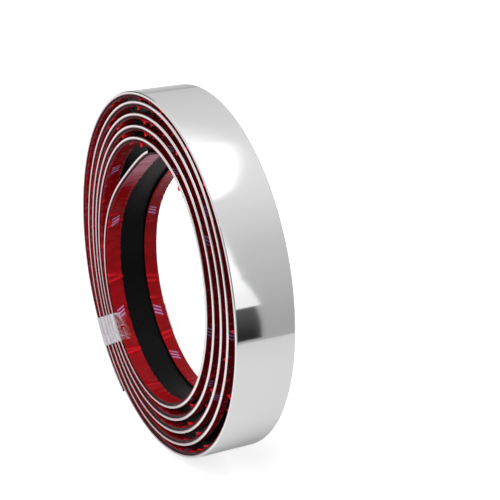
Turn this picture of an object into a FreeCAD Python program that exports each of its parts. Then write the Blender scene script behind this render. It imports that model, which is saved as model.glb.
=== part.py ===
import FreeCAD, Part
import os
from math import acos, ceil, cos, degrees, hypot, pi, radians, sin, sqrt

from FreeCAD import Vector

# A coil of self-adhesive chrome trim strip, standing on its rim.
#
# The strip is a springy plastic extrusion with a bright chrome face and a black back. Two rows of
# grey foam tape run along its back, each under a red release liner. It is wound chrome outward
# into a loose coil of about five and a half turns, so every turn lies clear inside the one before
# it, and a loop of clear tape holds all of them at one place. The last stretch is not held: it
# springs straight and cuts across the bore.
#
# Frame: millimetres, +Z up, the coil's axis along Y, the bore seen from the front (-Y).
# Angles are seen from the front too: 0 is to the right (+X) and 90 is up. They are those of the
# coil at rest, with its weight hanging below its middle.
# The origin is under the middle of the coil, on the surface that it stands on.

# The strip's section
STRIP_WIDTH = 25.0
STRIP_THICKNESS = 1.2
FACE_EDGE_RADIUS = 0.5
FOAM_THICKNESS = 0.8
LINER_THICKNESS = 0.1
FRONT_FOAM_WIDTH = 6.0
REAR_FOAM_WIDTH = 5.0
FRONT_MARGIN = 1.1
REAR_MARGIN = 0.7

# The coil
COIL_RADIUS = 76.5
TURNS = 5.42
OUTER_END_ANGLE = 256.0
GAP_BETWEEN_TURNS = 2.8

# Where the first turn steps inward, to run under its own outer end. The spiral's own pitch has
# already made a part of the room for that, and the step is smaller by the saving.
STEP_STARTS_TURNS = 0.75
STEP_LENGTH_TURNS = 0.2
STEP_SAVING = 0.3

# How far the inner turns are pushed out of round, and to which side they lean
SETTLING_TURNS = 0.48
OVAL_RISE = 1.9
OVAL_ANGLE = 92.0
LEAN_ANGLE = 22.5
OUTER_LEAN = 1.1
LEAN_CHANGE = 3.9
LEAN_CHANGE_STARTS_TURNS = 1.75
LEAN_CHANGE_TURNS = 3.6

# The free inner end dips toward the middle, and its tip springs back past the spiral
TAIL_TURNS = 0.378
TAIL_DIP = 8.5
TAIL_SKEW = 2.22
TAIL_OVERSHOOT = 0.0465

# The clear tape that holds the turns together. It is stuck on askew: its inner leg lies that far
# back along the strip from its outer leg.
HOLDING_TAPE_WIDTH = 13.5
HOLDING_TAPE_THICKNESS = 0.1
HOLDING_TAPE_ANGLE = 233.0
HOLDING_TAPE_SKEW = 4.5

# The route is drawn as tangent arcs, two from each of these points to the next
POINTS_PER_TURN = 8
DIRECTION_STEP_TURNS = 1e-4
SEAM_TOLERANCE = 0.001

SECTION_DEPTH = STRIP_THICKNESS + FOAM_THICKNESS + LINER_THICKNESS
TURN_PITCH = SECTION_DEPTH + GAP_BETWEEN_TURNS
FIRST_STEP = SECTION_DEPTH - STEP_SAVING
FRONT_FACE = -STRIP_WIDTH / 2
REAR_FACE = STRIP_WIDTH / 2


def ease(amount):
    """A smooth rise from 0 to 1 as the amount goes from 0 to 1."""
    amount = min(max(amount, 0.0), 1.0)
    return amount * amount * (3 - 2 * amount)


def coil_radius(turns):
    """How far the chrome face lies from the coil's middle, so many turns in from the outer end."""
    angle = radians(OUTER_END_ANGLE - 360 * turns)
    inward = max(turns - STEP_STARTS_TURNS, 0.0)
    settled = ease(inward / SETTLING_TURNS)
    radius = COIL_RADIUS - TURN_PITCH * inward - FIRST_STEP * ease(inward / STEP_LENGTH_TURNS)
    radius += settled * OVAL_RISE * cos(2 * (angle - radians(OVAL_ANGLE)))
    lean = OUTER_LEAN - LEAN_CHANGE * ease((turns - LEAN_CHANGE_STARTS_TURNS) / LEAN_CHANGE_TURNS)
    radius += settled * lean * cos(angle - radians(LEAN_ANGLE))
    along_tail = min(max(1 - (TURNS - turns) / TAIL_TURNS, 0.0), 1.0)
    return radius - TAIL_DIP * sin((1 + TAIL_OVERSHOOT) * pi * along_tail ** TAIL_SKEW)


def coil_point(turns):
    """The chrome face's place in the front view, as x and z from the coil's middle."""
    angle = radians(OUTER_END_ANGLE - 360 * turns)
    radius = coil_radius(turns)
    return radius * cos(angle), radius * sin(angle)


def coil_direction(turns):
    """The unit direction in which the strip runs on inward from there."""
    x0, z0 = coil_point(turns - DIRECTION_STEP_TURNS)
    x1, z1 = coil_point(turns + DIRECTION_STEP_TURNS)
    length = hypot(x1 - x0, z1 - z0)
    return (x1 - x0) / length, (z1 - z0) / length


class Arc:
    """One circular stretch of the route, from a start point and direction to an end point."""

    def __init__(self, start, direction, end):
        chord_x = end[0] - start[0]
        chord_z = end[1] - start[1]
        self.start = start
        self.inward = (direction[1], -direction[0])
        across = chord_x * self.inward[0] + chord_z * self.inward[1]
        along = chord_x * direction[0] + chord_z * direction[1]
        self.radius = (chord_x ** 2 + chord_z ** 2) / (2 * across)
        self.middle = (start[0] + self.inward[0] * self.radius, start[1] + self.inward[1] * self.radius)
        self.turn = 2 * degrees(acos(min(along / hypot(chord_x, chord_z), 1.0)))
        if across < 0:
            self.turn = -self.turn
        self.length = radians(self.turn) * self.radius

    def place(self, depth, y):
        """The point at the arc's start, so far inward from the chrome face and at that y."""
        return Vector(self.start[0] + self.inward[0] * depth, y, self.start[1] + self.inward[1] * depth)

    def sweep(self, shape):
        """A shape that stands at the arc's start, carried along the whole arc."""
        return shape.revolve(Vector(self.middle[0], 0, self.middle[1]), Vector(0, 1, 0), self.turn)

    def carry(self, shape, share=1.0):
        """A copy of the shape, moved from the arc's start along all of it, or a share."""
        moved = shape.copy()
        moved.rotate(Vector(self.middle[0], 0, self.middle[1]), Vector(0, 1, 0), self.turn * share)
        return moved


def route(first_turns, last_turns):
    """The coil's line between two places, as arcs that meet with one direction."""
    count = max(ceil((last_turns - first_turns) * POINTS_PER_TURN), 1)
    stops = [first_turns + (last_turns - first_turns) * n / count for n in range(count + 1)]
    arcs = []
    for here, there in zip(stops, stops[1:]):
        start, end = coil_point(here), coil_point(there)
        leave, arrive = coil_direction(here), coil_direction(there)
        chord = (end[0] - start[0], end[1] - start[1])
        both = (leave[0] + arrive[0], leave[1] + arrive[1])
        squared = 2 * (1 - leave[0] * arrive[0] - leave[1] * arrive[1])
        linear = 2 * (chord[0] * both[0] + chord[1] * both[1])
        constant = chord[0] ** 2 + chord[1] ** 2
        reach = 2 * constant / (linear + sqrt(linear ** 2 + 4 * squared * constant))
        joint = (
            (start[0] + end[0] + reach * (leave[0] - arrive[0])) / 2,
            (start[1] + end[1] + reach * (leave[1] - arrive[1])) / 2,
        )
        before = Arc(start, leave, joint)
        heading = radians(before.turn)
        direction = (
            leave[0] * cos(heading) + leave[1] * sin(heading),
            leave[1] * cos(heading) - leave[0] * sin(heading),
        )
        arcs += [before, Arc(joint, direction, end)]
    return arcs


def outline(corners):
    """A closed outline through corners, each a point and the radius that rounds it."""
    edges = []
    ends = []
    for n, (corner, radius) in enumerate(corners):
        before, after = corners[n - 1][0], corners[(n + 1) % len(corners)][0]
        if radius == 0:
            ends.append((corner, corner))
            continue
        to_before = (before - corner).normalize() * radius
        to_after = (after - corner).normalize() * radius
        inside = corner + (to_before + to_after) * (1 - sqrt(0.5))
        edges.append(Part.Arc(corner + to_before, inside, corner + to_after).toShape())
        ends.append((corner + to_before, corner + to_after))
    for n, (_, leaving) in enumerate(ends):
        edges.append(Part.makeLine(leaving, ends[(n + 1) % len(ends)][0]))
    return Part.Wire(Part.__sortEdges__(edges))


def ribbon(arcs, top, bottom, y0, y1, edge_radius=0.0):
    """A band that follows the route, between two depths inward from the chrome face."""
    first = arcs[0]
    section = outline([
        (first.place(top, y0), edge_radius),
        (first.place(top, y1), edge_radius),
        (first.place(bottom, y1), 0.0),
        (first.place(bottom, y0), 0.0),
    ])
    skin = [Part.Face(section)]
    for arc in arcs:
        skin += arc.sweep(section).Faces
        section = arc.carry(section)
    skin.append(Part.Face(section))
    shell = Part.Compound(skin)
    shell.sewShape(SEAM_TOLERANCE)
    band = Part.Solid(shell.Shells[0])
    if band.Volume < 0:
        band.reverse()
    return band


def following_edges(arcs, depth, y):
    """The route's edges at one depth inward from the chrome face, and one y."""
    edges = []
    for arc in arcs:
        start = Part.Vertex(arc.place(depth, y))
        middle, end = arc.carry(start, 0.5).Point, arc.carry(start).Point
        edges.append(Part.Arc(start.Point, middle, end).toShape())
    return edges


def holding_tape():
    """The loop of clear tape round all the turns: over the chrome, down each side and along the bore."""
    t = HOLDING_TAPE_THICKNESS
    outer_place = (OUTER_END_ANGLE - HOLDING_TAPE_ANGLE) / 360
    inner_place = outer_place + int(TURNS - TAIL_TURNS / 2 - outer_place)
    inner_place -= HOLDING_TAPE_SKEW / (2 * pi * coil_radius(inner_place))
    legs = []
    for place, top in ((outer_place, -t), (inner_place, SECTION_DEPTH)):
        half = HOLDING_TAPE_WIDTH / 2 / (2 * pi * coil_radius(place))
        arcs = route(place - half, place + half)
        legs.append((arcs, ribbon(arcs, top, top + t, FRONT_FACE - t, REAR_FACE + t)))
    (outer_arcs, loop), (inner_arcs, inner_leg) = legs
    for y in (FRONT_FACE - t, REAR_FACE):
        outer_edges = following_edges(outer_arcs, 0, y)
        inner_edges = following_edges(inner_arcs, SECTION_DEPTH, y)
        sides = [
            Part.makeLine(outer_edges[0].firstVertex().Point, inner_edges[0].firstVertex().Point),
            Part.makeLine(outer_edges[-1].lastVertex().Point, inner_edges[-1].lastVertex().Point),
        ]
        border = Part.Wire(Part.__sortEdges__(outer_edges + inner_edges + sides))
        loop = loop.fuse(Part.Face(border).extrude(Vector(0, t, 0)))
    return loop.fuse(inner_leg).Solids[0]


strip_route = route(0, TURNS)
foam_bottom = STRIP_THICKNESS + FOAM_THICKNESS
front_row = (FRONT_FACE + FRONT_MARGIN, FRONT_FACE + FRONT_MARGIN + FRONT_FOAM_WIDTH)
rear_row = (REAR_FACE - REAR_MARGIN - REAR_FOAM_WIDTH, REAR_FACE - REAR_MARGIN)

nodes = {
    "chrome_strip": ribbon(strip_route, 0, STRIP_THICKNESS, FRONT_FACE, REAR_FACE, FACE_EDGE_RADIUS),
    "foam_tape_front": ribbon(strip_route, STRIP_THICKNESS, foam_bottom, *front_row),
    "foam_tape_rear": ribbon(strip_route, STRIP_THICKNESS, foam_bottom, *rear_row),
    "liner_front": ribbon(strip_route, foam_bottom, SECTION_DEPTH, *front_row),
    "liner_rear": ribbon(strip_route, foam_bottom, SECTION_DEPTH, *rear_row),
    "holding_tape": holding_tape(),
}

box = nodes["chrome_strip"].optimalBoundingBox(False)
to_origin = Vector(-(box.XMin + box.XMax) / 2, 0, -box.ZMin)

os.makedirs("parts", exist_ok=True)
for name, solid in nodes.items():
    solid.translate(to_origin)
    solid.exportStep("parts/" + name + ".step")
    print(name, "valid", solid.isValid(), "volume", round(solid.Volume, 1), "faces", len(solid.Faces))

length = sum(arc.length for arc in strip_route)
print("length along the chrome face", round(length), "middle", to_origin)
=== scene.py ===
# %% [markdown]
# # A coil of chrome trim strip
#
# Trim strip for the edges of doors and wheel arches is a springy plastic extrusion. Its face
# carries a bright chrome film, its back is black, and two rows of grey foam tape run along that
# back under a red release liner. It is sold as a coil: chrome outward, loosely wound, held at one
# place by a loop of clear tape, with a free inner end that springs straight across the bore.
#
# The construction model already has each piece at its real size, as a plain spiral. This lesson
# gives those pieces their looks. Its main idea is to make every long piece flat, as stock on a
# bench, and then to wind it: a flat bar is easy to bevel, to ripple and to print on.

# %% Load the construction model, and keep the size of its box
import random
from bisect import bisect_right
from functools import lru_cache
from math import cos, hypot, pi, radians, sin

import bmesh
import bpy
from mathutils import Matrix, Vector, noise


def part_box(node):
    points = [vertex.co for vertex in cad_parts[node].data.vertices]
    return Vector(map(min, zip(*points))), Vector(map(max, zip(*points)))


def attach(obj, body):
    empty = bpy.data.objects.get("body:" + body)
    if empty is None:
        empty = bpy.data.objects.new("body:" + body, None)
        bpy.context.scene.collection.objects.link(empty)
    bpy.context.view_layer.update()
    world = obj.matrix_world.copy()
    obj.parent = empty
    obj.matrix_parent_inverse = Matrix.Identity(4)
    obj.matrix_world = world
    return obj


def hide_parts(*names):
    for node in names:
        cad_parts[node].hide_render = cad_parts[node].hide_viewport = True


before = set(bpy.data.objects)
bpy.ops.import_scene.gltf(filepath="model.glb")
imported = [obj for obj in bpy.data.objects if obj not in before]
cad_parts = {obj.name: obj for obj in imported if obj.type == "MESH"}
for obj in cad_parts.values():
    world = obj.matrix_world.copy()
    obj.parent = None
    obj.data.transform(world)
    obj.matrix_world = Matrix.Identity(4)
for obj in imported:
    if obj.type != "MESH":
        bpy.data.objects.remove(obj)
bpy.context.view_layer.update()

print("nodes:", ", ".join(sorted(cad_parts)))

# %% [markdown]
# ## The line that the strip follows
#
# The coil is one spiral. Its formula gives the distance of the chrome face from the coil's middle
# after so many turns, counted inward from the outer end: round for most of the first turn, then a
# step under its own start, then turn within turn, a little oval and leaning, and last the tail
# that cuts across the bore. The widths come from the boxes of the nodes themselves, so they can't
# drift from the construction model. Only the formula's own values are repeated here.

# %% The coil's own sizes, in metres and degrees
MM = 0.001
STRIP_THICKNESS = 1.2 * MM
FOAM_THICKNESS = 0.8 * MM
LINER_THICKNESS = 0.1 * MM
TAPE_THICKNESS = 0.1 * MM
SECTION_DEPTH = STRIP_THICKNESS + FOAM_THICKNESS + LINER_THICKNESS

COIL_RADIUS = 76.5 * MM
TURNS = 5.42
OUTER_END_ANGLE = 256.0
TURN_PITCH = SECTION_DEPTH + 2.8 * MM
STEP_STARTS_TURNS = 0.75
STEP_LENGTH_TURNS = 0.2
FIRST_STEP = SECTION_DEPTH - 0.3 * MM
SETTLING_TURNS = 0.48
OVAL_RISE = 1.9 * MM
OVAL_ANGLE = 92.0
LEAN_ANGLE = 22.5
OUTER_LEAN = 1.1 * MM
LEAN_CHANGE = 3.9 * MM
LEAN_CHANGE_STARTS_TURNS = 1.75
LEAN_CHANGE_TURNS = 3.6
TAIL_TURNS = 0.378
TAIL_DIP = 8.5 * MM
TAIL_SKEW = 2.22
TAIL_OVERSHOOT = 0.0465

strip_low, strip_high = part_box("chrome_strip")
FRONT_FACE = strip_low[1]
REAR_FACE = strip_high[1]
COIL_MIDDLE_Z = strip_high[2] - COIL_RADIUS
print("coil: %.0f mm across, %.2f turns" % (2 * COIL_RADIUS / MM, TURNS))


def ease(amount):
    """A smooth rise from 0 to 1 as the amount goes from 0 to 1."""
    amount = min(max(amount, 0.0), 1.0)
    return amount * amount * (3 - 2 * amount)


def coil_radius(turns):
    """How far the chrome face lies from the coil's middle, so many turns in from the outer end."""
    angle = radians(OUTER_END_ANGLE - 360 * turns)
    inward = max(turns - STEP_STARTS_TURNS, 0.0)
    settled = ease(inward / SETTLING_TURNS)
    radius = COIL_RADIUS - TURN_PITCH * inward - FIRST_STEP * ease(inward / STEP_LENGTH_TURNS)
    radius += settled * OVAL_RISE * cos(2 * (angle - radians(OVAL_ANGLE)))
    lean = OUTER_LEAN - LEAN_CHANGE * ease((turns - LEAN_CHANGE_STARTS_TURNS) / LEAN_CHANGE_TURNS)
    radius += settled * lean * cos(angle - radians(LEAN_ANGLE))
    along_tail = min(max(1 - (TURNS - turns) / TAIL_TURNS, 0.0), 1.0)
    return radius - TAIL_DIP * sin((1 + TAIL_OVERSHOOT) * pi * along_tail ** TAIL_SKEW)


def coil_point(turns):
    """The chrome face's place in the front view, as x and z."""
    angle = radians(OUTER_END_ANGLE - 360 * turns)
    radius = coil_radius(turns)
    return radius * cos(angle), COIL_MIDDLE_Z + radius * sin(angle)


# %% Measure the line, so that a distance along the strip gives a place on the coil
STATIONS = 4000
station_turns = [TURNS * n / STATIONS for n in range(STATIONS + 1)]
station_distances = [0.0]
for before, after in zip(station_turns, station_turns[1:]):
    x0, z0 = coil_point(before)
    x1, z1 = coil_point(after)
    station_distances.append(station_distances[-1] + hypot(x1 - x0, z1 - z0))
STRIP_LENGTH = station_distances[-1]


def turns_at(distance):
    """How many turns lie between the outer end and a place so far along the strip."""
    n = min(max(bisect_right(station_distances, distance) - 1, 0), STATIONS - 1)
    share = (distance - station_distances[n]) / (station_distances[n + 1] - station_distances[n])
    return station_turns[n] + share * (station_turns[n + 1] - station_turns[n])


def distance_at(turns):
    """How far along the strip a place lies, so many turns in from the outer end."""
    share = turns / TURNS * STATIONS
    n = min(int(share), STATIONS - 1)
    return station_distances[n] + (share - n) * (station_distances[n + 1] - station_distances[n])


@lru_cache(maxsize=None)
def coil_frame(distance):
    """The chrome face's x and z at a distance along the strip, and its direction there."""
    turns = turns_at(distance)
    nudge = 1e-4
    x0, z0 = coil_point(turns - nudge)
    x1, z1 = coil_point(turns + nudge)
    length = hypot(x1 - x0, z1 - z0)
    x, z = coil_point(turns)
    return x, z, (x1 - x0) / length, (z1 - z0) / length


def room_inside(turns):
    """The free gap between the liner and the next turn inward."""
    if turns + 1 > TURNS:
        return TURN_PITCH
    return coil_radius(turns) - SECTION_DEPTH - coil_radius(turns + 1)


print("strip: %.0f mm long, %.1f mm wide" % (STRIP_LENGTH / MM, (REAR_FACE - FRONT_FACE) / MM))

# %% [markdown]
# ## From flat stock to a wound piece
#
# Flat stock lies with x along the strip from the outer end, y across it and z out of its chrome
# face, so the tapes on its back are at negative z. Before the winding, each face corner gets a
# place on a UV map called unrolled, which is simply that x and y in metres. Print and creases can
# then follow the strip round the coil. The winding moves every vertex once, and the object stays
# at the origin, as the construction nodes do.


# %% Helpers that cut, wind and finish a flat piece
def flat_bar(y0, y1, z0, z1):
    """A bar as long as the strip, between two y and two z."""
    bar = bmesh.new()
    bmesh.ops.create_cube(bar, size=1.0)
    bmesh.ops.scale(bar, vec=(STRIP_LENGTH, y1 - y0, z1 - z0), verts=bar.verts)
    bmesh.ops.translate(bar, vec=(STRIP_LENGTH / 2, (y0 + y1) / 2, (z0 + z1) / 2), verts=bar.verts)
    return bar


def slice_at(bar, place, axis):
    """A line of vertices right round the bar, where a plane across that axis cuts it."""
    point = [0.0, 0.0, 0.0]
    normal = [0.0, 0.0, 0.0]
    point["xyz".index(axis)] = place
    normal["xyz".index(axis)] = 1.0
    everything = bar.verts[:] + bar.edges[:] + bar.faces[:]
    bmesh.ops.bisect_plane(bar, geom=everything, dist=1e-7, plane_co=point, plane_no=normal)


def cut_along(bar, cuts):
    """So many cuts across the whole length of the bar."""
    long_edges = [e for e in bar.edges if abs(e.verts[0].co.x - e.verts[1].co.x) > STRIP_LENGTH / 2]
    bmesh.ops.subdivide_edges(bar, edges=long_edges, cuts=cuts, use_grid_fill=True)


def unroll(bar):
    """Writes each face corner's place on the flat strip to the UV map."""
    layer = bar.loops.layers.uv.new("unrolled")
    for face in bar.faces:
        for loop in face.loops:
            loop[layer].uv = loop.vert.co.xy


def wind(bar):
    """Bends the flat piece round the coil."""
    for vertex in bar.verts:
        along, across, out = vertex.co
        x, z, run_x, run_z = coil_frame(along)
        vertex.co = (x - run_z * out, across, z + run_x * out)


def finish_piece(name, mesh, materials, smooth=True):
    """Turns the edited mesh into an object at the origin, with its materials, on the one body."""
    data = bpy.data.meshes.new(name)
    mesh.to_mesh(data)
    mesh.free()
    for material in materials:
        data.materials.append(material)
    if smooth:
        data.shade_smooth()
    piece = bpy.data.objects.new(name, data)
    bpy.context.scene.collection.objects.link(piece)
    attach(piece, "root")
    triangles = sum(len(polygon.vertices) - 2 for polygon in data.polygons)
    print("%s: %d triangles" % (name, triangles))
    return piece


# %% [markdown]
# ## Writing shader maths as Python
#
# A material's pattern is mostly arithmetic on numbers that change over the surface. The class
# below wraps one socket, so that a sum written in Python adds the Math nodes for it. Every other
# node comes from the one method, node().


# %% One small class for every node tree
class Link:
    """One socket of a node tree. Sums on it add Math nodes, and node() adds any other node."""

    def __init__(self, tree, socket=None):
        self.tree = tree
        self.socket = socket

    def node(self, kind, settings=None, inputs=None, output=0):
        """Adds a node, sets it up, fills its sockets, and gives back one of its outputs."""
        made = self.tree.nodes.new(kind)
        for name, value in (settings or {}).items():
            if name == "stops":
                ramp = made.color_ramp
                for extra in value[2:]:
                    ramp.elements.new(extra[0])
                for element, (position, level) in zip(ramp.elements, value):
                    element.position = position
                    element.color = (level, level, level, 1.0) if isinstance(level, float) else level
            else:
                setattr(made, name, value)
        for name, value in (inputs or {}).items():
            if isinstance(value, Link):
                self.tree.links.new(value.socket, made.inputs[name])
            else:
                made.inputs[name].default_value = value
        return Link(self.tree, made.outputs[output]) if made.outputs else None

    def maths(self, operation, *values):
        return self.node("ShaderNodeMath", {"operation": operation}, dict(enumerate(values)))

    def __add__(self, other):
        return self.maths("ADD", self, other)

    def __sub__(self, other):
        return self.maths("SUBTRACT", self, other)

    def __rsub__(self, other):
        return self.maths("SUBTRACT", other, self)

    def __mul__(self, other):
        return self.maths("MULTIPLY", self, other)

    def __truediv__(self, other):
        return self.maths("DIVIDE", self, other)

    def __abs__(self):
        return self.maths("ABSOLUTE", self)

    def __lt__(self, other):
        return self.maths("LESS_THAN", self, other)

    __radd__ = __add__
    __rmul__ = __mul__


def new_material(name):
    """An empty material, and the link that its first nodes are made from."""
    material = bpy.data.materials.new(name)
    material.use_nodes = True
    material.node_tree.nodes.clear()
    return material, Link(material.node_tree)


def surface(start, **inputs):
    """The material's one shader, with the sockets that are named, wired to its output."""
    sockets = {name.replace("_", " "): value for name, value in inputs.items()}
    shader = start.node("ShaderNodeBsdfPrincipled", inputs=sockets)
    start.node("ShaderNodeOutputMaterial", inputs={"Surface": shader})


def on_flat_strip(start):
    """Where each point lies on the flat strip, in metres: x along it and y across it."""
    return start.node("ShaderNodeUVMap", {"uv_map": "unrolled"})


def on_object(start):
    """Where each point lies in space, in metres."""
    return start.node("ShaderNodeTexCoord", output="Object")


def axis_of(vector, axis):
    """One axis of a vector, as a number."""
    return vector.node("ShaderNodeSeparateXYZ", inputs={"Vector": vector}, output=axis)


def stretched(place, along, across):
    """The place times one number along the strip and another across it."""
    return place.node("ShaderNodeMapping", inputs={"Vector": place, "Scale": (along, across, 1.0)})


def mottle(place, scale, detail):
    """A noise from 0 to 1, with about so many blotches to a unit of the place."""
    inputs = {"Vector": place, "Scale": scale, "Detail": detail}
    return place.node("ShaderNodeTexNoise", inputs=inputs)


def bumped(height, strength, distance):
    """The normal of a surface that rises and falls by up to that distance."""
    inputs = {"Height": height, "Strength": strength, "Distance": distance}
    return height.node("ShaderNodeBump", inputs=inputs)


def share_between(value, low, high):
    """How far the value has come from low to high, kept between 0 and 1."""
    inputs = {"Value": value, "From Min": low, "From Max": high}
    return value.node("ShaderNodeMapRange", inputs=inputs)


# %% [markdown]
# ## The camera
#
# The coil stands on its rim and shows its bore and its tread at once. The camera looks from the
# front right and from above, with a long lens. The coil's middle is left of and below the middle
# of the picture, so the camera aims past it. The coil came to rest turned a little on its rim from
# where the photograph shows it, and the camera turns with it, so the picture stays the same.

# %% Place the camera by the coil's middle, its distance and its angles
VIEW_AZIMUTH = 65.04
VIEW_ELEVATION = 24.12
VIEW_DISTANCE = 616 * MM
FOCAL_PIXELS = 1489.7
PICTURE_PIXELS = 500
COIL_MIDDLE_PIXEL = (179.2, 272.5)
TURNED_AT_REST = 11.5
SENSOR_WIDTH = 36.0

azimuth = radians(VIEW_AZIMUTH)
elevation = radians(VIEW_ELEVATION)
to_right = Vector((cos(azimuth), sin(azimuth), 0.0))
to_camera = Vector((sin(azimuth) * cos(elevation), -cos(azimuth) * cos(elevation), sin(elevation)))
to_top = to_camera.cross(to_right)
aside = PICTURE_PIXELS / 2 - COIL_MIDDLE_PIXEL[0]
above = COIL_MIDDLE_PIXEL[1] - PICTURE_PIXELS / 2
backward = (to_camera * FOCAL_PIXELS - to_right * aside - to_top * above).normalized()
rightward = to_top.cross(backward).normalized()
turn = Matrix.Rotation(-radians(TURNED_AT_REST), 4, "Y")
stand = Matrix.Translation(to_camera * VIEW_DISTANCE)
axes = Matrix((rightward, backward.cross(rightward), backward)).transposed().to_4x4()

camera_data = bpy.data.cameras.new("camera")
camera_data.sensor_width = SENSOR_WIDTH
camera_data.lens = FOCAL_PIXELS * SENSOR_WIDTH / PICTURE_PIXELS
camera_data.clip_start = 0.01
camera = bpy.data.objects.new("camera", camera_data)
bpy.context.scene.collection.objects.link(camera)
to_coil_middle = Matrix.Translation((0.0, 0.0, COIL_MIDDLE_Z))
camera.matrix_world = to_coil_middle @ turn @ stand @ axes
bpy.context.scene.camera = camera
print("camera: %.0f mm lens, %.0f mm from the coil" % (camera_data.lens, VIEW_DISTANCE / MM))

# %% [markdown]
# ## The chrome face and the black back
#
# Chrome shows what is around it, so most of its look is the studio's. The metal itself is a pale
# grey with almost no roughness. A rolled film is never a perfect mirror: faint lines along the
# strip blur its reflections, and long shallow waves bend them a little. Where the film is folded
# back round an edge it is duller, and there a darker pink-grey is painted into its colour: a
# painted reflection of the red liner beside it, and painted shade.

# %% Chrome film, its folded rim, and the black plastic under it
FILM_WAVE_HEIGHT = 0.09 * MM
GRAIN_HEIGHT = 0.2 * MM

chrome, start = new_material("chrome_film")
place = on_flat_strip(start)
lines = mottle(stretched(place, 40.0, 700.0), 1.0, 2.0)
waves = mottle(stretched(place, 38.0, 24.0), 1.0, 1.0)
surface(start, Base_Color=(0.86, 0.86, 0.865, 1.0), Metallic=1.0, Roughness=lines * 0.05 + 0.04,
        Normal=bumped(waves, 1.0, FILM_WAVE_HEIGHT))

# The folded rim's pink-grey base colour, darker than the chrome, is a painted reflection of the red
# liner beside it and painted shade.
folded_film_painted_reflection, start = new_material("folded_film_painted_reflection")
surface(start, Base_Color=(0.66, 0.47, 0.50, 1.0), Metallic=1.0, Roughness=0.22)

black_back, start = new_material("black_plastic")
grain = mottle(on_object(start), 900.0, 3.0)
surface(start, Base_Color=(0.0025, 0.0025, 0.0028, 1.0), Roughness=grain * 0.2 + 0.2,
        Specular_IOR_Level=0.07, Normal=bumped(grain, 0.25, GRAIN_HEIGHT))
print("materials: %s" % ", ".join(material.name for material in (chrome, folded_film_painted_reflection, black_back)))

# %% [markdown]
# ## The strip
#
# The extrusion is a flat bar with its two chrome edges rounded. A bevel rounds them, and narrow
# bands beside each bevel keep the smooth shading of the wide face flat, which a mirror finish
# needs. The film is folded round both edges and ends under the foam, so the lower part of each
# side and the margins of the back are in folded film, whose pink-grey is a painted reflection of
# the liner and painted shade. The end faces are black and stay sharp, as a knife leaves them.

# %% Round the flat bar's edges, cut it along its length and wind it
FACE_EDGE_RADIUS = 0.5 * MM
FACE_EDGE_SEGMENTS = 6
BACK_EDGE_RADIUS = 0.15 * MM
BACK_EDGE_SEGMENTS = 3
BAND = 0.05 * MM
BRIGHT_DEPTH = 0.75 * MM
STRIP_CUTS = 1100
SAME_HEIGHT = 0.01 * MM
STRIP_MATERIALS = [chrome, black_back, folded_film_painted_reflection]
CHROME_FACES, BLACK_FACES, FOLDED_FACES = range(3)


def long_edges_at(bar, z):
    """The bar's edges that run along the strip at that height."""
    found = []
    for edge in bar.edges:
        a, b = edge.verts
        if abs(a.co.x - b.co.x) > STRIP_LENGTH / 2 and abs(a.co.z - z) < SAME_HEIGHT:
            found.append(edge)
    return found


def round_edges(bar, edges, radius, segments):
    """Rounds those edges of the bar."""
    bmesh.ops.bevel(bar, geom=edges, offset=radius, offset_type="OFFSET", segments=segments,
                    profile=0.5, affect="EDGES", material=-1)


film_ends = (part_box("foam_tape_front")[0][1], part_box("foam_tape_rear")[1][1])
strip = flat_bar(FRONT_FACE, REAR_FACE, -STRIP_THICKNESS, 0.0)
round_edges(strip, long_edges_at(strip, 0.0), FACE_EDGE_RADIUS, FACE_EDGE_SEGMENTS)
round_edges(strip, long_edges_at(strip, -STRIP_THICKNESS), BACK_EDGE_RADIUS, BACK_EDGE_SEGMENTS)
for inset in (FACE_EDGE_RADIUS + BAND, BACK_EDGE_RADIUS + BAND):
    slice_at(strip, FRONT_FACE + inset, "y")
    slice_at(strip, REAR_FACE - inset, "y")
slice_at(strip, -FACE_EDGE_RADIUS - BAND, "z")
slice_at(strip, -BRIGHT_DEPTH, "z")
slice_at(strip, BACK_EDGE_RADIUS + BAND - STRIP_THICKNESS, "z")
for margin in film_ends:
    slice_at(strip, margin, "y")
cut_along(strip, STRIP_CUTS)
strip.normal_update()
for face in strip.faces:
    middle = face.calc_center_median()
    under_foam = film_ends[0] < middle.y < film_ends[1]
    is_back = middle.z < BACK_EDGE_RADIUS - STRIP_THICKNESS and under_foam
    is_end = abs(face.normal.x) > abs(face.normal.y) + abs(face.normal.z)
    face.smooth = not is_end
    face.material_index = CHROME_FACES
    if is_back or is_end:
        face.material_index = BLACK_FACES
    # Faces below this depth get the folded film's painted reflection and painted shade.
    elif middle.z < -BRIGHT_DEPTH:
        face.material_index = FOLDED_FACES
    if is_end:
        for edge in face.edges:
            edge.smooth = False
unroll(strip)
wind(strip)
wound_strip = finish_piece("wound_strip", strip, STRIP_MATERIALS, smooth=False)
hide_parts("chrome_strip")

# %% [markdown]
# ## The grey foam tape
#
# Between the strip's back and each liner is a row of acrylic foam, 0.8 mm thick. Only its cut
# edges show, as thin grey lines beside the bright ones. A slitting knife leaves them slightly
# wavy, and that is modelled, because it breaks up what would be a ruled line.

# %% Foam rows with wavy cut edges
FOAM_CUTS = 2200
FOAM_WAVE = 0.12 * MM
FOAM_WAVE_LENGTH = 3 * MM
FOAM_WAVE_WIDTH = 2 * MM
FOAM_CELL_DEPTH = 0.2 * MM
DARK_FOAM = (0.02, 0.016, 0.018, 1.0)
PALE_FOAM = (0.085, 0.07, 0.075, 1.0)

foam, start = new_material("grey_foam")
cells = mottle(on_object(start), 2500.0, 2.0)
tones = {"stops": [(0.3, DARK_FOAM), (0.7, PALE_FOAM)]}
tone = start.node("ShaderNodeValToRGB", tones, {"Fac": cells})
surface(start, Base_Color=tone, Roughness=0.8, Normal=bumped(cells, 0.6, FOAM_CELL_DEPTH))


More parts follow.
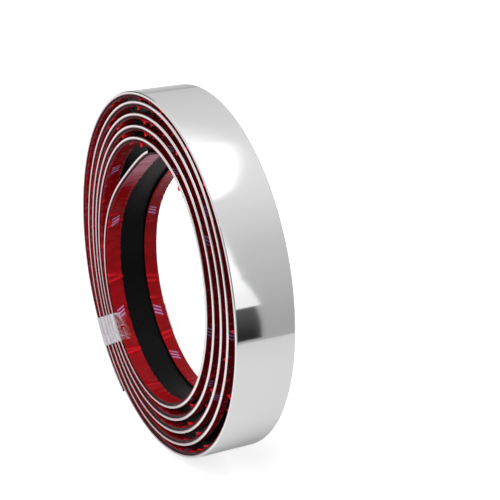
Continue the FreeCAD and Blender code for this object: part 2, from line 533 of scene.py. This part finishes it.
def foam_row(side):
    """One row of foam on the strip's back."""
    low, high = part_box("foam_tape_" + side)
    row = flat_bar(low[1], high[1], -STRIP_THICKNESS - FOAM_THICKNESS, -STRIP_THICKNESS)
    cut_along(row, FOAM_CUTS)
    unroll(row)
    middle = (low[1] + high[1]) / 2
    for vertex in row.verts:
        x, y, z = vertex.co
        spot = Vector((x / FOAM_WAVE_LENGTH, y / FOAM_WAVE_WIDTH, z / FOAM_WAVE_WIDTH))
        inset = FOAM_WAVE * (0.5 + noise.noise(spot))
        vertex.co.y += inset if y < middle else -inset
    wind(row)
    piece = finish_piece("foam_row_" + side, row, [foam])
    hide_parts("foam_tape_" + side)


for side in ("front", "rear"):
    foam_row(side)

# %% [markdown]
# ## The red liner
#
# A release liner doesn't stretch. On the inside of a bend it has too much length, so it ripples
# all along, folds in sharp creases across its row, and here and there lifts off the foam in a
# small tent that also bulges past the foam's edge. On the left of the coil each liner hangs over
# its near edge a little all along. The tents and creases that show are listed, as turns in from
# the outer end. The rest are scattered from a fixed seed. None is higher than the gap to the next
# turn allows.

# %% Where the liner lifts off
TENTS_SEEN = (0.405, 0.448, 0.539, 0.662, 0.724, 0.810, 1.312, 1.400, 1.696, 1.818, 2.339, 2.413,
              2.748, 2.832, 3.348, 3.414, 3.811, 4.400, 4.482, 4.507, 4.704)
FRONT_CREASES_SEEN = (4.945, 4.952, 5.012, 5.018, 5.112, 5.121, 5.205)
REAR_CREASES_SEEN = (5.022, 5.029, 5.104, 5.112)
SEEDED_TENTS = 60
SEEDED_CREASES = 90
CLEAR_OF_ENDS_TURNS = 0.05

# Each kind of lift has its half length and its height, both as a range in millimetres, then how
# far it reaches across the row, where 1 is the row's width, and how sharp its ridge is.
SEEN_TENT = ((1.3, 2.1), (1.7, 2.6), (0.5, 0.9), 1.2)
SEEN_CREASE = ((1.0, 1.9), (0.7, 1.0), 4.0, 1.3)
SMALL_TENT = ((1.0, 1.8), (0.6, 1.5), (0.3, 0.9), 1.2)
SMALL_CREASE = ((0.5, 1.1), (0.12, 0.4), 3.0, 1.4)
MOST_SKEW = 0.35
SKEWED_WIDTH = 5 * MM
FALL_ACROSS = 0.6

random.seed(7)


class Lift:
    """One place where the liner stands off the foam: a tent at the near edge, or a whole crease."""

    def __init__(self, turns, half_lengths, tops, reach, sharpness):
        self.distance = distance_at(turns)
        self.half_length = random.uniform(*half_lengths) * MM
        self.top = random.uniform(*tops) * MM
        self.reach = random.uniform(*reach) if isinstance(reach, tuple) else reach
        self.sharpness = sharpness
        self.skew = random.uniform(-MOST_SKEW, MOST_SKEW)

    def height(self, along, across):
        """The height there. across goes from 0 at the near edge of the row to 1 at the far one."""
        ridge = self.distance + self.skew * across * SKEWED_WIDTH
        off = abs(along - ridge) / self.half_length
        if off >= 1 or across >= self.reach:
            return 0.0
        return self.top * (1 - off) ** self.sharpness * (1 - across / self.reach) ** FALL_ACROSS


def anywhere():
    """A seeded place on the strip, in turns from the outer end."""
    return random.uniform(CLEAR_OF_ENDS_TURNS, TURNS - CLEAR_OF_ENDS_TURNS)


def lifts_of_row(tents_seen, creases_seen):
    """All the tents and creases of one row."""
    lifts = [Lift(turns, *SEEN_TENT) for turns in tents_seen]
    lifts += [Lift(turns, *SEEN_CREASE) for turns in creases_seen]
    lifts += [Lift(anywhere(), *SMALL_TENT) for _ in range(SEEDED_TENTS)]
    lifts += [Lift(anywhere(), *SMALL_CREASE) for _ in range(SEEDED_CREASES)]
    return lifts


print("front liner: %d tents and %d creases placed by hand, %d and %d seeded"
      % (len(TENTS_SEEN), len(FRONT_CREASES_SEEN), SEEDED_TENTS, SEEDED_CREASES))

# %% The small waves that run all along
RIPPLE = 0.3 * MM
RIPPLE_PITCH = 3.6 * MM
RIPPLE_IN_MIDDLE = 0.2
DRIFT_LENGTH = 9 * MM
DRIFT_IN_PHASE = 8
SWELL = 0.7
SWELL_LENGTH = 16 * MM
DRIFT_LAYER = 3.0
SWELL_LAYER = 8.0


def ripple_height(along, across):
    """The height of the waves, which are stronger at the row's two edges, on a slow swell."""
    edge = abs(2 * across - 1) ** 2
    drift = noise.noise(Vector((along / DRIFT_LENGTH, across * 0.7, DRIFT_LAYER)))
    swell = noise.noise(Vector((along / SWELL_LENGTH, across, SWELL_LAYER)))
    wave = 0.5 + 0.5 * sin(2 * pi * along / RIPPLE_PITCH + DRIFT_IN_PHASE * drift)
    strength = RIPPLE_IN_MIDDLE + (1 - RIPPLE_IN_MIDDLE) * edge
    return RIPPLE * (wave * strength * (0.5 + 0.9 * abs(drift)) + SWELL * (0.5 + swell))


print("ripples: %.1f mm from crest to crest" % (RIPPLE_PITCH / MM))

# %% [markdown]
# ## Red film with a pale print
#
# The film is a clear deep red with little gloss. Fine lines run across it, and mauve flecks show
# where it is wound tightly. Where it stands off the foam it is painted a brighter red, a painted
# highlight for the light that gets behind it, and near the strip's free end a streaky pink is
# painted in, a painted sheen for what the film reflects there at a grazing angle. Here and there
# it has a pale violet mark, here a plain group of slanted strokes. Two attributes on the liner's
# points carry the lift and the distance from the nearest mark, and sums cut the strokes out of
# the second.

# %% Print and gloss of the liner
MARK_HALF_LENGTH = 2.5 * MM
MARK_HALF_WIDTH = 1.5 * MM
MARK_ROW = 8.6 * MM
STROKE_PITCH = 1.7 * MM
STROKE_SHARE = 0.55
STROKE_SLANT = 0.6
TIGHT_TURNS = 4.45
# Where the painted pink sheen near the free end fades in, in turns from the outer end.
PAINTED_SHEEN_TURNS = (5.29, 5.39)
FILM_LINE_HEIGHT = 0.15 * MM
DEEP_RED = (0.19, 0.0015, 0.003, 1.0)
CLEAR_RED = (0.31, 0.003, 0.007, 1.0)
# A painted highlight: the brighter red that lifted film gets, for the light that gets behind it.
LIFT_PAINTED_HIGHLIGHT_RED = (0.62, 0.008, 0.016, 1.0)
FLECK_MAUVE = (0.30, 0.13, 0.21, 1.0)
# A painted sheen: the pink that the film reflects at a grazing angle near its free end, put into its
# colour.
PAINTED_SHEEN_PINK = (0.68, 0.30, 0.42, 1.0)
PALE_VIOLET = (0.44, 0.21, 0.44, 1.0)

red_film, start = new_material("red_film")
place = on_flat_strip(start)
along = axis_of(place, "X")
across = axis_of(place, "Y")
from_mark = start.node("ShaderNodeAttribute", {"attribute_name": "from_mark"}, output="Fac")
lifted = start.node("ShaderNodeAttribute", {"attribute_name": "lifted"}, output="Fac")

across_mark = abs(across) - MARK_ROW
slanted = from_mark + across_mark * STROKE_SLANT
stroke = slanted.maths("WRAP", slanted, STROKE_PITCH, 0.0)
in_length = abs(slanted) < MARK_HALF_LENGTH
in_width = abs(across_mark) < MARK_HALF_WIDTH
printed = (stroke < STROKE_PITCH * STROKE_SHARE) * in_length * in_width

lines = mottle(stretched(place, 900.0, 60.0), 1.0, 2.0)
blotches = mottle(place, 260.0, 2.0)
fleck = share_between(mottle(place, 420.0, 2.0), 0.54, 0.68)
streak = share_between(lines, 0.40, 0.60)
is_tight = along < distance_at(TIGHT_TURNS)
sheen_from, sheen_to = (distance_at(turns) for turns in PAINTED_SHEEN_TURNS)
painted_sheen = share_between(along, sheen_from, sheen_to)


def blend(share, first, second):
    """A mix of two colours by a share that varies over the surface."""
    inputs = {"Factor": share, "A": first, "B": second}
    return start.node("ShaderNodeMix", {"data_type": "RGBA"}, inputs, output="Result")


reds = {"stops": [(0.3, DEEP_RED), (0.7, CLEAR_RED)]}
red = start.node("ShaderNodeValToRGB", reds, {"Fac": blotches * 0.6 + lines * 0.4})
# Painted highlight: the red brightens with the lift, so tents and creases show as lit facets.
red = blend(lifted, red, LIFT_PAINTED_HIGHLIGHT_RED)
red = blend(fleck * is_tight * 0.28, red, FLECK_MAUVE)
# Painted sheen: a streaky pink near the strip's free end.
red = blend(painted_sheen * (streak * 0.5 + 0.4), red, PAINTED_SHEEN_PINK)
inked = blend(printed * 0.85, red, PALE_VIOLET)
surface(start, Base_Color=inked, Roughness=lines * 0.15 + 0.1, Specular_IOR_Level=0.08,
        Normal=bumped(lines, 0.35, FILM_LINE_HEIGHT))
print("red film: marks of %.0f by %.0f mm" % (2 * MARK_HALF_LENGTH / MM, 2 * MARK_HALF_WIDTH / MM))

# %% Make the two liners
LINER_STEPS = 3600
LINER_STEPS_ACROSS = 7
FRONT_MARKS_SEEN = (5.205, 5.069, 4.86)
REAR_MARKS_SEEN = (5.214, 5.062, 4.994)
MARK_SPACING = (35, 95)
LAST_MARK = 60 * MM
MARK_WINDOW = 4 * MM
FAR_FROM_MARKS = 1.0
LONGEST_LIFT = 5 * MM
MOST_OF_GAP = 0.8
MOST_IN_BORE = 1.1 * MM
FLAT_TURNS = (4.58, 4.9)
MOST_WHERE_FLAT = 0.35 * MM
OVERHANG = 0.65 * MM
BULGE_SHARE = 0.45
BULGE_REACH = 0.4
MOST_BULGE = 1.0 * MM
# The lift at which the painted highlight on the red film is full.
BRIGHT_LIFT = 0.7 * MM


def mark_places(seen):
    """The marks' distances along the strip: those that show, and seeded ones on the outer turns."""
    places = [distance_at(turns) for turns in seen]
    place = min(places)
    while place > LAST_MARK:
        place -= random.uniform(*MARK_SPACING) * MM
        places.append(place)
    return places


def most_lift(turns):
    """How high the liner may stand there: less than the gap, or a little where it faces the bore."""
    if FLAT_TURNS[0] < turns < FLAT_TURNS[1]:
        return MOST_WHERE_FLAT
    if turns + 1 > TURNS:
        return MOST_IN_BORE
    return MOST_OF_GAP * max(room_inside(turns), 0.0)


def liner_row(side, lifts, marks):
    """One liner: a thin film that follows its row of foam."""
    low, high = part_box("liner_" + side)
    near_edge, width = low[1], high[1] - low[1]
    film = bmesh.new()
    bmesh.ops.create_grid(film, x_segments=LINER_STEPS, y_segments=LINER_STEPS_ACROSS, size=0.5)
    bmesh.ops.scale(film, vec=(STRIP_LENGTH, width, 1.0), verts=film.verts)
    foam_side = -STRIP_THICKNESS - FOAM_THICKNESS
    shift = (STRIP_LENGTH / 2, near_edge + width / 2, foam_side)
    bmesh.ops.translate(film, vec=shift, verts=film.verts)
    unroll(film)
    lifts = sorted(lifts, key=lambda lift: lift.distance)
    starts = [lift.distance for lift in lifts]
    for vertex in film.verts:
        along, across = vertex.co.x, (vertex.co.y - near_edge) / width
        turns = turns_at(along)
        first = bisect_right(starts, along - LONGEST_LIFT)
        last = bisect_right(starts, along + LONGEST_LIFT)
        raised = max([lift.height(along, across) for lift in lifts[first:last]], default=0.0)
        raised = min(max(raised, ripple_height(along, across)), most_lift(turns))
        vertex.co.z -= raised
        leftward = (1 - cos(radians(OUTER_END_ANGLE - 360 * turns))) / 2
        bulge = min(OVERHANG * leftward + raised * BULGE_SHARE, MOST_BULGE)
        vertex.co.y -= bulge * max(1 - across / BULGE_REACH, 0.0)
    bmesh.ops.solidify(film, geom=film.faces[:], thickness=LINER_THICKNESS)
    mark_layer = film.verts.layers.float.new("from_mark")
    lift_layer = film.verts.layers.float.new("lifted")
    for vertex in film.verts:
        offset = min((vertex.co.x - place for place in marks), key=abs)
        vertex[mark_layer] = offset if abs(offset) < MARK_WINDOW else FAR_FROM_MARKS
        # How far the film stands off the foam, which sets its painted highlight.
        vertex[lift_layer] = ease((foam_side - vertex.co.z - RIPPLE) / BRIGHT_LIFT)
    wind(film)
    bmesh.ops.recalc_face_normals(film, faces=film.faces[:])
    piece = finish_piece("liner_row_" + side, film, [red_film])
    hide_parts("liner_" + side)


liner_row("front", lifts_of_row(TENTS_SEEN, FRONT_CREASES_SEEN), mark_places(FRONT_MARKS_SEEN))
liner_row("rear", lifts_of_row((), REAR_CREASES_SEEN), mark_places(REAR_MARKS_SEEN))

# %% [markdown]
# ## The loop of clear tape
#
# One loop of clear tape goes round all the turns: over the chrome, down both sides and along the
# bore. It is made as a flat sheet too, one way along the strip and the other way round the loop,
# and then wrapped, so its two ends meet at the front edge. Where it bridges the turns' edges it
# looks milky, because air lies under it and it sags a little between one edge and the next. In
# the bore its near end is crumpled, and thin pale lines along the crumple's folds are painted
# highlights. An attribute carries the milkiness and those painted highlights from the mesh to the
# material.

# %% Clear tape that turns milky where it doesn't stick
CLOUD_HEIGHT = 0.3 * MM
clear_tape, start = new_material("clear_tape")
cloud = mottle(on_object(start), 420.0, 3.0)
# The alpha follows the mesh's milkiness, which in the bore also carries painted highlights along the
# crumple's folds.
milk = start.node("ShaderNodeAttribute", {"attribute_name": "milk"}, output="Fac")
surface(start, Base_Color=(0.74, 0.70, 0.75, 1.0), Roughness=0.14,
        Alpha=milk * (cloud * 0.8 + 0.6), Normal=bumped(cloud, 0.4, CLOUD_HEIGHT))
print("material: %s" % clear_tape.name)

# %% The tape's places on the strip and its sizes
HOLDING_TAPE_ANGLE = 233.0
HOLDING_TAPE_SKEW = 4.5 * MM
TAPE_WIDTH = 13.5 * MM
TAPE_WALL = 0.8 * TAPE_THICKNESS
TAPE_SAG = 0.35 * MM
SAG_SPAN = 2 * MM
EDGES_BRIDGED = 5
tape_low, tape_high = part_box("holding_tape")
TAPE_REACH = tape_high[1] - tape_low[1] - TAPE_THICKNESS

outer_place = (OUTER_END_ANGLE - HOLDING_TAPE_ANGLE) / 360
inner_place = outer_place + int(TURNS - TAIL_TURNS / 2 - outer_place)
inner_place -= HOLDING_TAPE_SKEW / (2 * pi * coil_radius(inner_place))
outer_radius = coil_radius(outer_place)
drop_length = outer_radius - coil_radius(inner_place) + SECTION_DEPTH + TAPE_THICKNESS
edges_below = [outer_radius - coil_radius(outer_place + n) + STRIP_THICKNESS / 2
               for n in range(EDGES_BRIDGED)]
loop_length = 2 * TAPE_REACH + 2 * drop_length
print("tape: %.0f mm round the loop" % (loop_length / MM))

# %% Wrap the tape round the turns
TAPE_STEPS_ALONG = 60
TAPE_STEPS_ROUND = 400
RAGGED_EDGE = 0.35 * MM
RAGGED_LENGTH = 1.5 * MM
CRUMPLE = 2.6 * MM
CRUMPLED_END = 7 * MM
STUCK_END = 0.8 * MM
FOLD_LENGTH = 3.2 * MM
FOLD_WIDTH = 2.6 * MM
FOLD_LAYER = 1.0
RAGGED_LAYER = 5.0
CURL_SHARPNESS = 6
MILK_OVER_CHROME = 0.04
MILK_OVER_EDGES = 0.4
MILK_OF_SAG = 0.35
MILK_OF_CRUMPLE = 0.08
# How strongly the painted highlights along the crumple's folds show.
PAINTED_HIGHLIGHT_OF_CURL = 0.7


def bridging(outer, inner, depth, side):
    """A point of the tape beside the turns. side is 1 at the back and -1 at the front."""
    nearest = min(abs(depth - edge) for edge in edges_below)
    sag = TAPE_SAG * ease(nearest / SAG_SPAN)
    sideways = Vector((0.0, side * (TAPE_REACH / 2 - sag), 0.0))
    place = outer.lerp(inner, depth / drop_length) + sideways
    return place, MILK_OVER_EDGES + MILK_OF_SAG * sag / TAPE_SAG


def in_bore(inner, inward, along, to_front_edge):
    """A point of the tape on the liner of the innermost turn, crumpled near its front edge, with
    painted highlights along its folds.
    """
    slack = ease(1 - to_front_edge / CRUMPLED_END) * ease(to_front_edge / STUCK_END)
    spot = Vector((along / FOLD_LENGTH, to_front_edge / FOLD_WIDTH, FOLD_LAYER))
    fold = abs(noise.noise(spot))
    # Thin lines along the folds: painted highlights of the crumple.
    curl_highlight = max(1 - fold * CURL_SHARPNESS, 0.0)
    sideways = Vector((0.0, to_front_edge - TAPE_REACH / 2, 0.0))
    place = inner + sideways + inward * (CRUMPLE * slack * fold)
    return place, slack * (MILK_OF_CRUMPLE + PAINTED_HIGHLIGHT_OF_CURL * curl_highlight)


def tape_place(along, round_loop):
    """The tape's point so far along the strip and round the loop, and how milky it is there, with the
    painted highlights of its crumple.
    """
    outer_x, outer_z, run_x, run_z = coil_frame(distance_at(outer_place) + along)
    outer = Vector((outer_x - run_z * TAPE_THICKNESS / 2, 0.0, outer_z + run_x * TAPE_THICKNESS / 2))
    inner_x, inner_z, run_x, run_z = coil_frame(distance_at(inner_place) + along)
    inward = Vector((run_z, 0.0, -run_x))
    depth = SECTION_DEPTH + TAPE_THICKNESS / 2
    inner = Vector((inner_x, 0.0, inner_z)) + inward * depth
    if round_loop < TAPE_REACH:
        return outer + Vector((0.0, round_loop - TAPE_REACH / 2, 0.0)), MILK_OVER_CHROME
    round_loop -= TAPE_REACH
    if round_loop < drop_length:
        return bridging(outer, inner, round_loop, 1)
    round_loop -= drop_length
    if round_loop < TAPE_REACH:
        return in_bore(inner, inward, along, TAPE_REACH - round_loop)
    round_loop -= TAPE_REACH
    return bridging(outer, inner, max(drop_length - round_loop, 0.0), -1)


tape = bmesh.new()
bmesh.ops.create_grid(tape, x_segments=TAPE_STEPS_ALONG, y_segments=TAPE_STEPS_ROUND, size=0.5)
milk_and_highlight_layer = tape.verts.layers.float.new("milk")
for vertex in tape.verts:
    round_loop = (vertex.co.y + 0.5) * loop_length
    spot = Vector((round_loop / RAGGED_LENGTH, vertex.co.x, RAGGED_LAYER))
    width = TAPE_WIDTH + RAGGED_EDGE * noise.noise(spot)
    vertex.co, vertex[milk_and_highlight_layer] = tape_place(vertex.co.x * width, round_loop)
bmesh.ops.recalc_face_normals(tape, faces=tape.faces[:])
tape_loop = finish_piece("tape_loop", tape, [clear_tape])
wall = tape_loop.modifiers.new("thickness", "SOLIDIFY")
wall.thickness = TAPE_WALL
wall.offset = 0.0
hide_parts("holding_tape")

# %% [markdown]
# ## The studio
#
# A chrome face has no colour of its own, so the studio is half of its finish. The floor and the
# world are what it mirrors from afar: the floor is a pale grey that the camera sees as white, and
# the world is a soft grey that is lightest overhead and a little darker to the right. Near cards
# give the rest. White ones are the highlight at the top of the tread, the wedge of light beside it
# and the strip's bright edges. Dark ones, which photographers call flags, give the dark patch and
# the thin dark line along the tread's near edge. Here all of them are seen only in reflections, so
# they neither shade nor light anything.

# %% Floor and lamp
scene = bpy.context.scene
scene.view_settings.view_transform = "Standard"

FLOOR_SIZE = 3.0
FLOOR_RIGHT_EDGE = 0.51
FLOOR_GREY = (0.71, 0.71, 0.71, 1.0)
FLOOR_LIFT = 0.58
WHITE = (1.0, 1.0, 1.0, 1.0)
LAMP_PLACE = (0.28, -0.5, 0.95)
LAMP_SIZE = 0.7
LAMP_WATTS = 8.0

floor_finish, start = new_material("white_floor")
seen_by_camera = start.node("ShaderNodeLightPath", output="Is Camera Ray")
surface(start, Base_Color=FLOOR_GREY, Roughness=0.9, Specular_IOR_Level=0.0,
        Emission_Color=WHITE, Emission_Strength=seen_by_camera * FLOOR_LIFT)


def stage_sheet(name, corners, material):
    """A flat sheet with those corners, which is part of the studio and not of the coil."""
    sheet = bmesh.new()
    sheet.faces.new([sheet.verts.new(corner) for corner in corners])
    data = bpy.data.meshes.new(name)
    sheet.to_mesh(data)
    sheet.free()
    data.materials.append(material)
    placed = bpy.data.objects.new(name, data)
    scene.collection.objects.link(placed)
    return placed


left, right, back = FLOOR_RIGHT_EDGE - FLOOR_SIZE, FLOOR_RIGHT_EDGE, FLOOR_SIZE / 2
floor_corners = ((left, -back, 0), (right, -back, 0), (right, back, 0), (left, back, 0))
stage_sheet("floor", floor_corners, floor_finish)

lamp_data = bpy.data.lights.new("soft_lamp", "AREA")
lamp_data.shape = "RECTANGLE"
lamp_data.size = LAMP_SIZE
lamp_data.size_y = LAMP_SIZE
lamp_data.energy = LAMP_WATTS
lamp = bpy.data.objects.new("soft_lamp", lamp_data)
scene.collection.objects.link(lamp)
lamp.location = LAMP_PLACE
aim = Vector((0.0, 0.0, COIL_MIDDLE_Z)) - lamp.location
lamp.rotation_euler = aim.to_track_quat("-Z", "Y").to_euler()
lamp.visible_glossy = False
print("studio: a floor %.1f m wide and one %.0f W lamp" % (FLOOR_SIZE, LAMP_WATTS))

# %% Cards that only reflections see
# Places are in millimetres from the coil's middle, and each card's glow runs from its start to
# its end along one axis.
SIDE_CARD_X = 197
FLAG_X = 400
FRONT_CARD_Z = -70


def seen_in_mirrors_only(sheet):
    """Hides a sheet from every ray but the ones that a glossy surface sends out."""
    for ray in ("camera", "diffuse", "transmission", "shadow"):
        setattr(sheet, "visible_" + ray, False)


def card(name, corners, axis, glow_from, glow_to):
    """A glowing sheet. glow_from and glow_to are each a place along the axis and a strength."""
    material, start = new_material(name)
    where = axis_of(on_object(start), axis)
    rise = COIL_MIDDLE_Z if axis == "Z" else 0.0
    places = {"From Min": glow_from[0] * MM + rise, "From Max": glow_to[0] * MM + rise}
    levels = {"To Min": glow_from[1], "To Max": glow_to[1]}
    smooth = {"interpolation_type": "SMOOTHSTEP"}
    glow = start.node("ShaderNodeMapRange", smooth, {"Value": where, **places, **levels})
    lit = start.node("ShaderNodeEmission", inputs={"Strength": glow})
    start.node("ShaderNodeOutputMaterial", inputs={"Surface": lit})
    placed = [(x * MM, y * MM, z * MM + COIL_MIDDLE_Z) for x, y, z in corners]
    seen_in_mirrors_only(stage_sheet(name, placed, material))
    print("%s: glow %.2f to %.2f" % (name, glow_from[1], glow_to[1]))


def upright(x, y0, y1, z0, z1):
    """The corners of an upright rectangle that faces the coil from a side."""
    return [(x, y0, z0), (x, y1, z0), (x, y1, z1), (x, y0, z1)]


def level(z, x0, x1, y0, y1):
    """The corners of a level rectangle."""
    return [(x0, y0, z), (x1, y0, z), (x1, y1, z), (x0, y1, z)]


wedge_corners = [(SIDE_CARD_X, 25, 54), (SIDE_CARD_X, 59.5, 54), (SIDE_CARD_X, 61, 108),
                 (SIDE_CARD_X, 69, 150), (SIDE_CARD_X, 118, 326), (SIDE_CARD_X, 25, 326)]
card("wedge_card", wedge_corners, "Z", (54, 1.0), (140, 1.25))
card("dark_card", upright(SIDE_CARD_X, 25, 57, -3, 54), "Z", (0, 0.02), (54, 0.09))
card("front_card", level(FRONT_CARD_Z, -330, 60, -260, -30), "X", (-330, 1.0), (60, 1.0))
card("right_flag", upright(FLAG_X, -450, 30, 100, 640), "Z", (100, 0.1), (640, 0.1))
card("left_flag", upright(-FLAG_X, -160, 105, -40, 220), "Z", (-40, 0.12), (220, 0.12))

# %% The card above, which fades out toward the left and the back
# The fade's stops and its edges are in millimetres too, from the coil's middle.
TOP_CARD_HEIGHT = 307
TOP_CARD_GLOW = 2.0
TOP_FADE = [(-420, 0.0), (-335, 0.09), (-153, 0.19), (-100, 0.34), (-66, 1.0), (72, 1.0), (108, 0.0)]
TOP_CARD_FRONT = -120
TOP_CARD_BACK = 180
FULL_GLOW_BACK = 100
SOFT_EDGE_LEFT = 74
SOFT_EDGE_RIGHT = 14

top_glow, start = new_material("top_card")
coords = on_object(start)
first, last = TOP_FADE[0][0], TOP_FADE[-1][0]
stops = [((x - first) / (last - first), strength) for x, strength in TOP_FADE]
along_card = share_between(axis_of(coords, "X"), first * MM, last * MM)
fade = start.node("ShaderNodeValToRGB", {"stops": stops}, {"Fac": along_card})
softness = (1 - along_card) * ((SOFT_EDGE_LEFT - SOFT_EDGE_RIGHT) * MM) + SOFT_EDGE_RIGHT * MM
inside = (FULL_GLOW_BACK * MM + softness - axis_of(coords, "Y")) / softness
edge = start.node("ShaderNodeMapRange", {"interpolation_type": "SMOOTHSTEP"}, {"Value": inside})
glow = start.node("ShaderNodeEmission", inputs={"Strength": TOP_CARD_GLOW})
nothing = start.node("ShaderNodeBsdfTransparent")
mixed = start.node("ShaderNodeMixShader", inputs={0: fade * edge, 1: nothing, 2: glow})
start.node("ShaderNodeOutputMaterial", inputs={"Surface": mixed})
corners = level(TOP_CARD_HEIGHT, first, last, TOP_CARD_FRONT, TOP_CARD_BACK)
placed = [(x * MM, y * MM, z * MM + COIL_MIDDLE_Z) for x, y, z in corners]
seen_in_mirrors_only(stage_sheet("top_card", placed, top_glow))
print("top_card: %d mm above the coil's middle" % TOP_CARD_HEIGHT)

# %% The world
AMBIENT = 0.6
SKY_GREYS = [(0.0, 0.45), (0.5, 0.52), (0.7, 0.615), (0.83, 0.675), (0.915, 0.785), (0.96, 0.87),
             (1.0, 0.92)]
DARKER_TO_RIGHT = 0.1

world = bpy.data.worlds.new("studio")
scene.world = world
world.use_nodes = True
world.node_tree.nodes.clear()
start = Link(world.node_tree)
direction = start.node("ShaderNodeTexCoord", output="Generated")
height = axis_of(direction, "Z") * 0.5 + 0.5
grey = start.node("ShaderNodeValToRGB", {"stops": SKY_GREYS}, {"Fac": height})
sky = grey - axis_of(direction, "X") * DARKER_TO_RIGHT
mirrored = start.node("ShaderNodeBackground", inputs={"Color": sky, "Strength": 1.0})
fill = start.node("ShaderNodeBackground", inputs={"Color": WHITE, "Strength": AMBIENT})
white = start.node("ShaderNodeBackground", inputs={"Color": WHITE, "Strength": 1.0})
is_glossy = start.node("ShaderNodeLightPath", output="Is Glossy Ray")
is_camera = start.node("ShaderNodeLightPath", output="Is Camera Ray")
is_through = start.node("ShaderNodeLightPath", output="Is Transmission Ray")
lit = start.node("ShaderNodeMixShader", inputs={0: is_glossy, 1: fill, 2: mirrored})
plain = is_camera.maths("MAXIMUM", is_camera, is_through)
backdrop = start.node("ShaderNodeMixShader", inputs={0: plain, 1: lit, 2: white})
start.node("ShaderNodeOutputWorld", inputs={"Surface": backdrop})
print("world: greys from %.2f to %.2f, and white to the camera" % (SKY_GREYS[0][1], SKY_GREYS[-1][1]))
